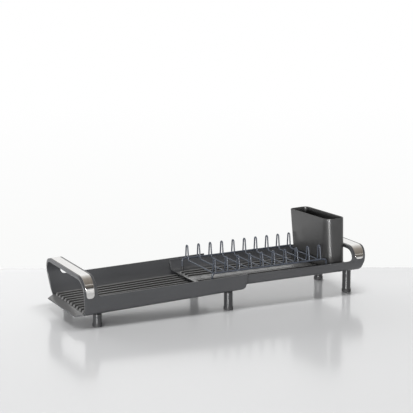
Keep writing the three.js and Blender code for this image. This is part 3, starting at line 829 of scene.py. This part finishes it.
def stand(name, body, tray, place, y):
    """A leg under a tray's sloping floor, and its rubber foot."""
    x = tray.at_x + place * math.cos(tray.slope)
    underside = tray.at_z + place * math.sin(tray.slope)

    def top(px):
        return underside + (px - x) * math.tan(tray.slope) - leg.overlap

    r, bottom = leg.radius, foot.floor + TOUCH
    profile = [(0, bottom), (r - leg.bevel, bottom), (r, bottom + leg.bevel), (r, foot.height),
               (r, foot.height + leg.line_over_foot), (r, None), (r - leg.top_inset, None),
               (0, underside - leg.overlap)]
    dress(lathe(name + "_post", profile, x, y, top=top), body, "tray_plastic", (name + "_leg",), leg_plastic_painted_shade)

    r, bore, height = foot.radius, leg.radius + foot.gap, foot.height
    groove_places = zip((r, r - foot.groove, r - foot.groove, r), (height - d for d in foot.groove_depths))
    profile = [(0, 0), (r - foot.flat_inset, 0), *arc((r - foot.round, foot.round), foot.round, -90, 0, 5),
               *groove_places, *arc((r - foot.top_round, height - foot.top_round), foot.top_round, 0, 90, 4),
               (bore + foot.bevel, height), (bore, height - foot.bevel), (bore, foot.floor), (0, foot.floor)]
    dress(lathe(name + "_pad", profile, x, y), body, "foot_rubber", (name + "_foot",), rubber)


for row_name, side in SIDES:
    y = side * (main.floor_half - leg.side_inset)
    stand(row_name + "_lip_end", "main_frame", main, leg.lip_place, y)
    stand(row_name + "_middle", "main_frame", main, main.end - leg.end_inset, y)
    y = side * (sliding.floor_half - leg.sliding_side_inset)
    stand(row_name + "_sliding", "sliding_frame", sliding, sliding.end - leg.sliding_inset, y)


# Plate rack

def on_rack(x, y, z):
    """A point of the rack, with x from its left legs and z from under the sliding tray's floor."""
    return sliding.from_left(x + rack.start, y, z)


def rail(name, y):
    """A rail along the rack, bent down into a leg at each end."""
    low = sliding.wall + TOUCH + rack.cap_wall + TOUCH
    feet = Vector((0, y, low)), Vector((rack.length, y, low))
    corners = Vector((0, y, rack.rail_height)), Vector((rack.length, y, rack.rail_height))
    points = [feet[0], *bend(feet[0], corners[0], corners[1], rack.bend),
              *bend(corners[0], corners[1], feet[1], rack.bend), feet[1]]
    rod = tube(name + "_rod", points, Vector((0, 1, 0)), rack.rail_radius, on_rack)
    dress(rod, "plate_rack", "coated_wire", (name,), wire_coat)


def plate_wire(number, x):
    """A loop up from each rail, and the cross wire low between them, in one piece."""
    start = rack.rail_height + rack.rail_radius * rack.weld_start
    top = rack.rail_height + rack.loop_height - rack.loop_radius - rack.wire_radius
    loop_middle = rack.rail_half - rack.loop_width / 2
    cross = rack.rail_height - rack.cross_drop
    half = [Vector((0, rack.rail_half, start + height)) for height in rack.weld_heights]
    half += [Vector((0, y, z)) for y, z in arc((loop_middle, top), rack.loop_radius, 0, 180, 14)]
    foot_corner = Vector((0, rack.rail_half - rack.loop_width, cross))
    half += bend(half[-1], foot_corner, Vector((0, 0, cross)), rack.foot_bend, 6)
    half.append(Vector((0, 0, cross)))
    points = half + [Vector((0, -p.y, p.z)) for p in reversed(half[:-1])]
    last, unswollen = len(points) - 1, len(rack.weld_swells) - 1
    wire = tube(f"plate_loop_{number}", points, Vector((1, 0, 0)), rack.wire_radius,
                lambda px, py, pz: on_rack(px + x, py, pz),
                lambda i: rack.weld_swells[min(i, last - i, unswollen)])
    dress(wire, "plate_rack", "coated_wire", (f"plate_wire_{number}",), wire_coat)


def cap_profile():
    """A rubber cap on the end of one of the rack's legs."""
    low = sliding.wall + TOUCH
    r, bore, high = rack.cap_radius, rack.rail_radius + rack.cap_gap, low + rack.cap_height
    base, top = rack.cap_base_round, rack.cap_top_round
    return [(0, low), *arc((r - base, low + base), base, -90, 0, 4),
            *arc((r - top, high - top), top, 0, 90, 4), (bore, high), (bore, low + rack.cap_wall),
            (0, low + rack.cap_wall)]


for row_name, side in SIDES:
    rail(row_name + "_rail", side * rack.rail_half)
wire_pitch = (rack.length - rack.first_wire - rack.last_wire) / (rack.wires - 1)
for i in range(rack.wires):
    plate_wire(i + 1, rack.first_wire + i * wire_pitch)
for row_name, side in SIDES:
    for end_name, x in (("left", 0), ("right", rack.length)):
        cap = lathe(f"rack_cap_{row_name}_{end_name}", cap_profile(), 0, 0, sides=32)
        for vertex in cap.data.vertices:
            px, py, pz = vertex.co / MM
            vertex.co = on_rack(px + x, py + side * rack.rail_half, pz)
        dress(cap, "plate_rack", "foot_rubber", (f"rack_foot_{row_name}_{end_name}",), rubber)


# Cutlery holder: loops from the middle of its base up the outside, over the rim and down the inside

def holder_mesh():
    """The holder, standing on the sliding tray's ribs, with its drain slots cut through its floor."""
    bottom = sliding.wall + rib.sliding_height + TOUCH
    top = bottom + holder.height
    side_steps, corner_steps, base_steps, rim_steps = 10, 12, 5, 8
    collapsed = 0.05  # the least share of a corner's radius that an inset leaves

    def loop(z, inset):
        """The holder's outline at a height, drawn in from the outside."""
        share = (z - bottom) / holder.height
        corners = [Vector((low + (high - low) * share, y, 0)) for (low, high), y, _ in holder.corners]
        points = []
        for i, corner in enumerate(corners):
            low, high = holder.corners[i][2]
            radius = low + (high - low) * share
            before, after = corners[i - 1], corners[(i + 1) % 4]
            first, last = (before - corner).normalized(), (after - corner).normalized()
            centre = corner + (first + last).normalized() * (radius / math.sin(first.angle(last) / 2))
            points += [centre + (p - centre) * max(1 - inset / radius, collapsed)
                       for p in bend(before, corner, after, radius, corner_steps)]
        return [sliding.from_left(p.x, p.y, z) for p in points]

    r, rim, wall, floor_z = holder.base_round, holder.wall / 2, holder.wall, bottom + holder.floor
    turns = even(0, math.pi / 2, base_steps)
    outside = [loop(bottom, r + holder.flat_inset)]
    outside += [loop(bottom + r * (1 - math.cos(a)), r * (1 - math.sin(a))) for a in turns]
    outside += [loop(z, 0) for z in even(bottom + r, top - rim, side_steps)[1:]]
    over = [loop(top - rim + rim * math.sin(a), rim - rim * math.cos(a))
            for a in even(0, math.pi, rim_steps)[1:]]
    inside = [loop(z, wall) for z in even(top - rim, floor_z + r, side_steps)[1:]]
    inside += [loop(floor_z + r * (1 - math.sin(a)), wall + r * (1 - math.cos(a))) for a in turns[1:]]
    inside += [loop(floor_z, wall + r + holder.flat_inset)]
    cup = loft("cutlery_cup", outside + over + inside)

    cutters = []
    for i in range(holder.slots):
        y = (i - (holder.slots - 1) / 2) * holder.slot_pitch
        middle = holder.slot_middle - y * holder.slot_slant
        outline = [(middle + px, y + py) for px, py in slot_outline()]
        ends = bottom - holder.cut_beyond, floor_z + holder.cut_beyond
        cutters.append(loft(f"slot_{i}", [[sliding.from_left(*point, z) for point in outline] for z in ends]))
        cut = cup.modifiers.new(f"slot_{i}", "BOOLEAN")
        cut.operation, cut.object, cut.solver = "DIFFERENCE", cutters[-1], "EXACT"
    depsgraph = bpy.context.evaluated_depsgraph_get()
    finished = bpy.data.meshes.new_from_object(cup.evaluated_get(depsgraph))
    cup.modifiers.clear()
    cup.data = finished
    finished.set_sharp_from_angle(angle=SHARP_ANGLE)
    for cutter in cutters:
        bpy.data.objects.remove(cutter)
    return cup


def slot_outline():
    """A drain slot with round ends, seen from above."""
    half, r = holder.slot_length / 2, holder.slot_width / 2
    return arc((half - r, 0), r, -90, 90, 8) + arc((r - half, 0), r, 90, 270, 8)


dress(holder_mesh(), "holder", "holder_plastic", ("cutlery_holder",), holder_plastic)


# Studio: a pale worktop that ends behind the drainer, a pale room and four soft lamps

def studio_floor():
    """The worktop. Its far edge runs square to the camera's way of looking."""
    mesh = bpy.data.meshes.new("worktop")
    yaw = math.radians(CAMERA_YAW)
    away = Vector((math.sin(yaw), math.cos(yaw), 0))
    right = Vector((math.cos(yaw), -math.sin(yaw), 0))
    foot_point = Vector((CAMERA_PLACE[0], CAMERA_PLACE[1], 0))
    far, near, wide = foot_point + away * FLOOR_AHEAD, foot_point - away * FLOOR_BEHIND, right * FLOOR_BESIDE
    mesh.from_pydata([near - wide, near + wide, far + wide, far - wide], [], [(0, 1, 2, 3)])
    mesh.materials.append(varied("worktop_white", dark=(0.715, 0.718, 0.724), light=(0.725, 0.728, 0.734),
                                 smooth=0.14, rough=0.16, scales=((2, 2), (3, 1))))
    floor = in_scene("worktop", mesh)


def grey(level):
    return (level, level, level)


def room():
    """The room: what the pieces mirror, what lights them and what the camera sees.

    They mirror white low down and behind the drainer, and overhead brown with a dark band and a bright line.
    The light is bright at the horizon and dim overhead. The camera sees a plain pale backdrop.
    """
    world = bpy.data.worlds.new("white_room")
    bpy.context.scene.world = world
    world.use_nodes = True
    tree = world.node_tree
    place = node(tree, "ShaderNodeTexCoord").outputs["Generated"]
    x, y, z = node(tree, "ShaderNodeSeparateXYZ", {"Vector": place}).outputs
    yaw = math.radians(CAMERA_YAW)
    nearer = math_node(tree, "ADD", math_node(tree, "MULTIPLY", x, -math.sin(yaw)),
                       math_node(tree, "MULTIPLY", y, -math.cos(yaw)))
    # 0 level towards the camera's side, 0.5 straight up and 1 level behind the drainer
    turn = math_node(tree, "DIVIDE", math_node(tree, "ARCTAN2", z, nearer), math.pi)
    dark_band, bright_line = (0.03, 0.027, 0.025), (1.0, 0.97, 0.93)
    overhead = colour_stops(tree, turn, (
        (0, (0.97, 0.97, 0.98)), (0.066, grey(1)), (0.076, dark_band), (0.13, dark_band),
        (0.20, (0.15, 0.137, 0.122)), (0.262, (0.18, 0.163, 0.142)), (0.270, bright_line),
        (0.280, bright_line), (0.288, (0.185, 0.168, 0.145)), (0.30, (0.19, 0.170, 0.148)),
        (0.45, (0.27, 0.243, 0.212)), (0.55, (0.33, 0.30, 0.265)), (0.68, (0.58, 0.56, 0.53)),
        (0.82, (0.97, 0.97, 0.96)), (1, grey(1))))
    # All that hangs in one sector of the sky. The rest of it is an even grey overhead
    beside = colour_stops(tree, x, ((0.10, grey(1)), (0.22, grey(0)), (0.62, grey(0)), (0.74, grey(1))))
    overhead = mix_colours(tree, beside, overhead, grey(0.45))
    low_down = colour_stops(tree, z, ((0.10, grey(0)), (0.30, grey(1))))
    mirrored = mix_colours(tree, low_down, grey(0.9), overhead)
    backdrop = colour_stops(tree, math_node(tree, "ADD", z, 1),
                            ((0.765, (0.945, 0.950, 0.942)), (0.87, grey(1))))
    path = node(tree, "ShaderNodeLightPath")
    dim = mix_colours(tree, low_down, grey(1.1), colour_stops(tree, turn, (
        (0, grey(0.5)), (0.1, grey(0.06)), (0.5, grey(0.06)), (0.85, grey(0.6)))))
    mirrored = mix_colours(tree, path.outputs["Is Diffuse Ray"], mirrored, dim)
    seen = mix_colours(tree, path.outputs["Is Camera Ray"], mirrored, backdrop)
    tree.links.new(seen, tree.nodes["Background"].inputs["Color"])


def area_light(name, place, target, size, watts, diffuse=True, glossy=True):
    """A soft lamp. diffuse says whether it lights surfaces, and glossy whether it shows in their gloss."""
    light = bpy.data.lights.new(name, "AREA")
    light.shape, light.size, light.size_y = "RECTANGLE", size[0], size[1]
    light.energy = watts
    obj = in_scene(name, light)
    way = Vector(target) - Vector(place)
    obj.matrix_world = Matrix.Translation(place) @ way.to_track_quat("-Z", "Y").to_matrix().to_4x4()
    obj.visible_diffuse, obj.visible_glossy = diffuse, glossy
    obj.visible_camera = False


def camera():
    lens = bpy.data.cameras.new("camera")
    lens.sensor_width = SENSOR_MM
    lens.lens = FOCAL_PIXELS / FRAME_PIXELS * SENSOR_MM
    obj = in_scene("camera", lens)
    yaw = Matrix.Rotation(-math.radians(CAMERA_YAW), 4, "Z")
    pitch = Matrix.Rotation(math.radians(90 - CAMERA_PITCH), 4, "X")
    roll = Matrix.Rotation(math.radians(CAMERA_ROLL), 4, "Z")
    obj.matrix_world = Matrix.Translation(CAMERA_PLACE) @ (yaw @ pitch) @ roll
    bpy.context.scene.camera = obj


studio_floor()
room()
area_light("overhead", place=(0.15, -0.55, 3.0), target=(0, 0, 0), size=(2.0, 0.8), watts=56, glossy=False)
area_light("behind", place=(-0.1, 1.6, 0.42), target=(0, 0, 0.02), size=(2.6, 0.5), watts=34, glossy=False)
area_light("side_fill", place=(-3.8, -3.0, 0.57), target=(0, 0, 0.03), size=(3.6, 0.7), watts=200,
           glossy=False)
area_light("strip_light", place=(-2.62, -3.85, 0.79), target=(0, 0, 0.05), size=(1.8, 0.8), watts=270,
           diffuse=False)
camera()
bpy.context.scene.view_settings.view_transform = "Standard"
